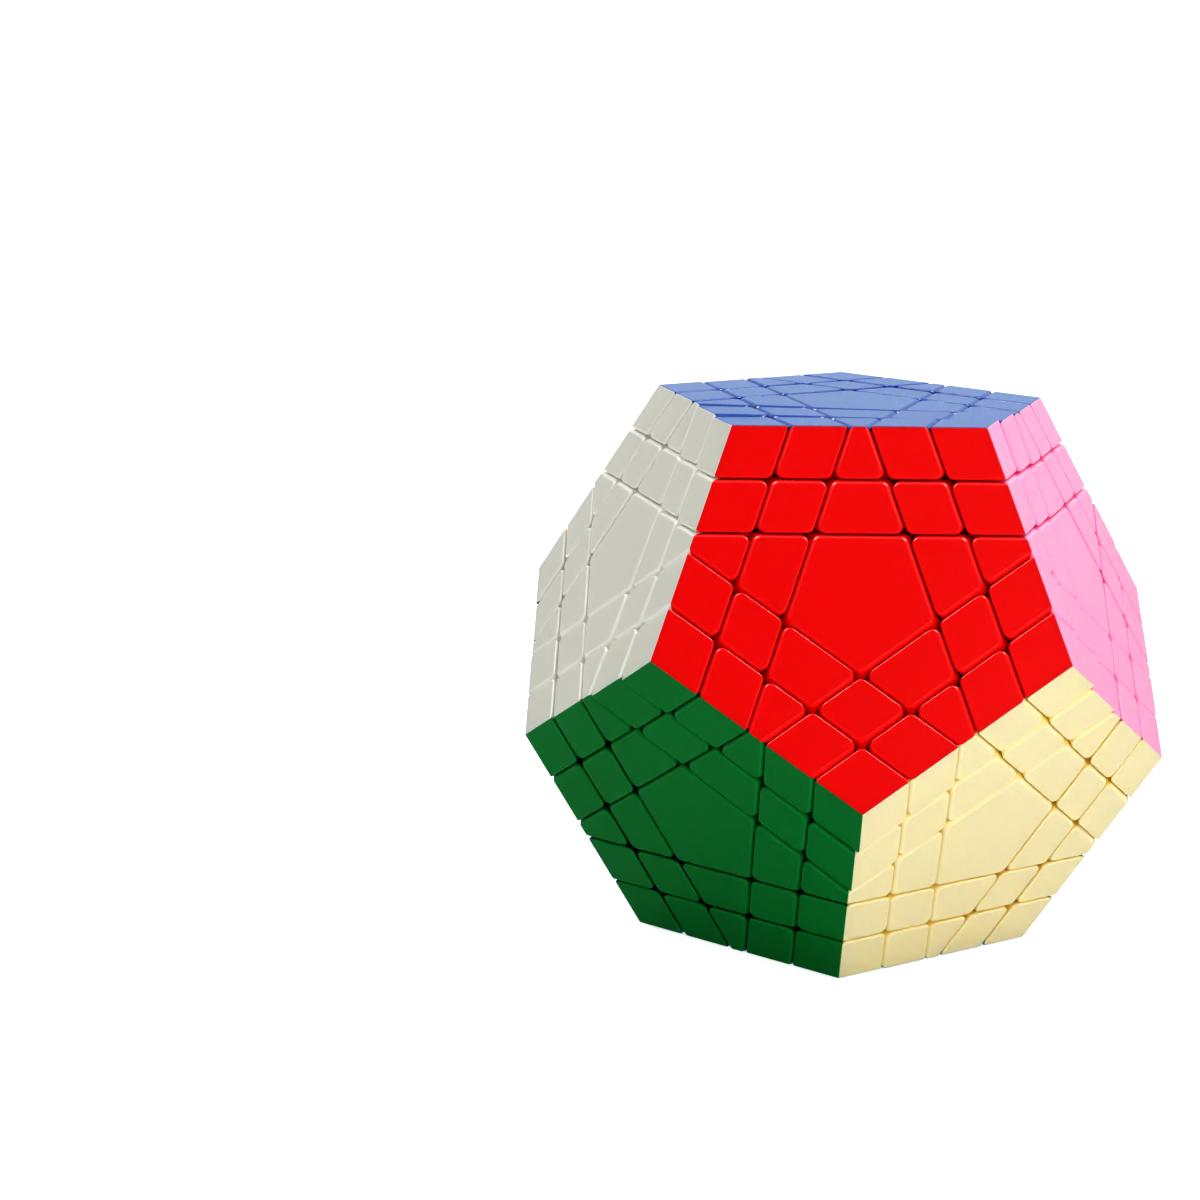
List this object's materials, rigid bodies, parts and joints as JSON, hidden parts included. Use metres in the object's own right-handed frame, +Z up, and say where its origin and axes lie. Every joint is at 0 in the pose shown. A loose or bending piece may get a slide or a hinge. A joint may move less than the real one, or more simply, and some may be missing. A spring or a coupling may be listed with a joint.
{
  "type": "dodecahedron twisty puzzle",
  "caption": "Five-layer dodecahedral twisty puzzle with twelve coloured pentagonal faces and turning layers",
  "frame": {"origin": "centre of the dodecahedron, where all twelve turning axes meet", "axes": "+Z up out of the blue face, opposite the face it stands on; -Y towards the red face"},
  "size_m": [0.1256, 0.1322, 0.1068],
  "materials": {
    "blue_plastic": "moulded ABS in solid blue, fine satin surface",
    "red_plastic": "moulded ABS in solid red, fine satin surface",
    "pink_plastic": "moulded ABS in solid pink, fine satin surface",
    "light_green_plastic": "moulded ABS in solid light green, fine satin surface",
    "yellow_plastic": "moulded ABS in solid yellow, fine satin surface",
    "white_plastic": "moulded ABS in solid white, fine satin surface",
    "green_plastic": "moulded ABS in solid green, fine satin surface",
    "cream_plastic": "moulded ABS in solid cream, fine satin surface",
    "grey_plastic": "moulded ABS in solid grey, fine satin surface",
    "orange_plastic": "moulded ABS in solid orange, fine satin surface",
    "purple_plastic": "moulded ABS in solid purple, fine satin surface",
    "light_blue_plastic": "moulded ABS in solid light blue, fine satin surface",
    "mechanism_plastic": "black moulded ABS, satin, lightly greased",
    "spring_steel": "drawn spring wire",
    "zinc_steel": "zinc-plated steel"
  },
  "bodies": {
    "fixed": {"core": "mechanism_plastic", "fixed_blue_caps": "blue_plastic", "fixed_cream_caps": "cream_plastic", "fixed_feet": "mechanism_plastic", "fixed_green_caps": "green_plastic", "fixed_hubs": "mechanism_plastic", "fixed_light_blue_caps": "light_blue_plastic", "fixed_light_green_caps": "light_green_plastic", "fixed_orange_caps": "orange_plastic", "fixed_pink_caps": "pink_plastic", "fixed_white_caps": "white_plastic", "fixed_yellow_caps": "yellow_plastic", "tension_screws": "zinc_steel", "tension_springs": "spring_steel", "tension_washers": "zinc_steel"},
    "grey_face": {"grey_face_cream_caps": "cream_plastic", "grey_face_feet": "mechanism_plastic", "grey_face_grey_caps": "grey_plastic", "grey_face_hubs": "mechanism_plastic", "grey_face_light_blue_caps": "light_blue_plastic", "grey_face_light_green_caps": "light_green_plastic", "grey_face_orange_caps": "orange_plastic", "grey_face_pink_caps": "pink_plastic"},
    "grey_slice": {"grey_slice_cream_caps": "cream_plastic", "grey_slice_feet": "mechanism_plastic", "grey_slice_light_blue_caps": "light_blue_plastic", "grey_slice_light_green_caps": "light_green_plastic", "grey_slice_orange_caps": "orange_plastic", "grey_slice_pink_caps": "pink_plastic"},
    "purple_face": {"purple_face_feet": "mechanism_plastic", "purple_face_green_caps": "green_plastic", "purple_face_hubs": "mechanism_plastic", "purple_face_light_blue_caps": "light_blue_plastic", "purple_face_orange_caps": "orange_plastic", "purple_face_purple_caps": "purple_plastic", "purple_face_white_caps": "white_plastic", "purple_face_yellow_caps": "yellow_plastic"},
    "purple_slice": {"purple_slice_feet": "mechanism_plastic", "purple_slice_green_caps": "green_plastic", "purple_slice_light_blue_caps": "light_blue_plastic", "purple_slice_orange_caps": "orange_plastic", "purple_slice_white_caps": "white_plastic", "purple_slice_yellow_caps": "yellow_plastic"},
    "red_face": {"red_face_blue_caps": "blue_plastic", "red_face_cream_caps": "cream_plastic", "red_face_feet": "mechanism_plastic", "red_face_green_caps": "green_plastic", "red_face_hubs": "mechanism_plastic", "red_face_pink_caps": "pink_plastic", "red_face_red_caps": "red_plastic", "red_face_white_caps": "white_plastic"},
    "red_slice": {"red_slice_blue_caps": "blue_plastic", "red_slice_cream_caps": "cream_plastic", "red_slice_feet": "mechanism_plastic", "red_slice_green_caps": "green_plastic", "red_slice_pink_caps": "pink_plastic", "red_slice_white_caps": "white_plastic"}
  },
  "joints": [
    {"name": "red_slice_turn", "type": "hinge", "parent": "fixed", "child": "red_slice", "pos_m": [0, 0, 0], "axis": [0, -0.8944, 0.4472], "continuous": true},
    {"name": "red_face_turn", "type": "hinge", "parent": "red_slice", "child": "red_face", "pos_m": [0, 0, 0], "axis": [0, -0.8944, 0.4472], "continuous": true},
    {"name": "purple_slice_turn", "type": "hinge", "parent": "fixed", "child": "purple_slice", "pos_m": [0, 0, 0], "axis": [-0.8507, 0.2764, -0.4472], "continuous": true},
    {"name": "purple_face_turn", "type": "hinge", "parent": "purple_slice", "child": "purple_face", "pos_m": [0, 0, 0], "axis": [-0.8507, 0.2764, -0.4472], "continuous": true},
    {"name": "grey_slice_turn", "type": "hinge", "parent": "fixed", "child": "grey_slice", "pos_m": [0, 0, 0], "axis": [0.8507, 0.2764, -0.4472], "continuous": true},
    {"name": "grey_face_turn", "type": "hinge", "parent": "grey_slice", "child": "grey_face", "pos_m": [0, 0, 0], "axis": [0.8507, 0.2764, -0.4472], "continuous": true}
  ]
}
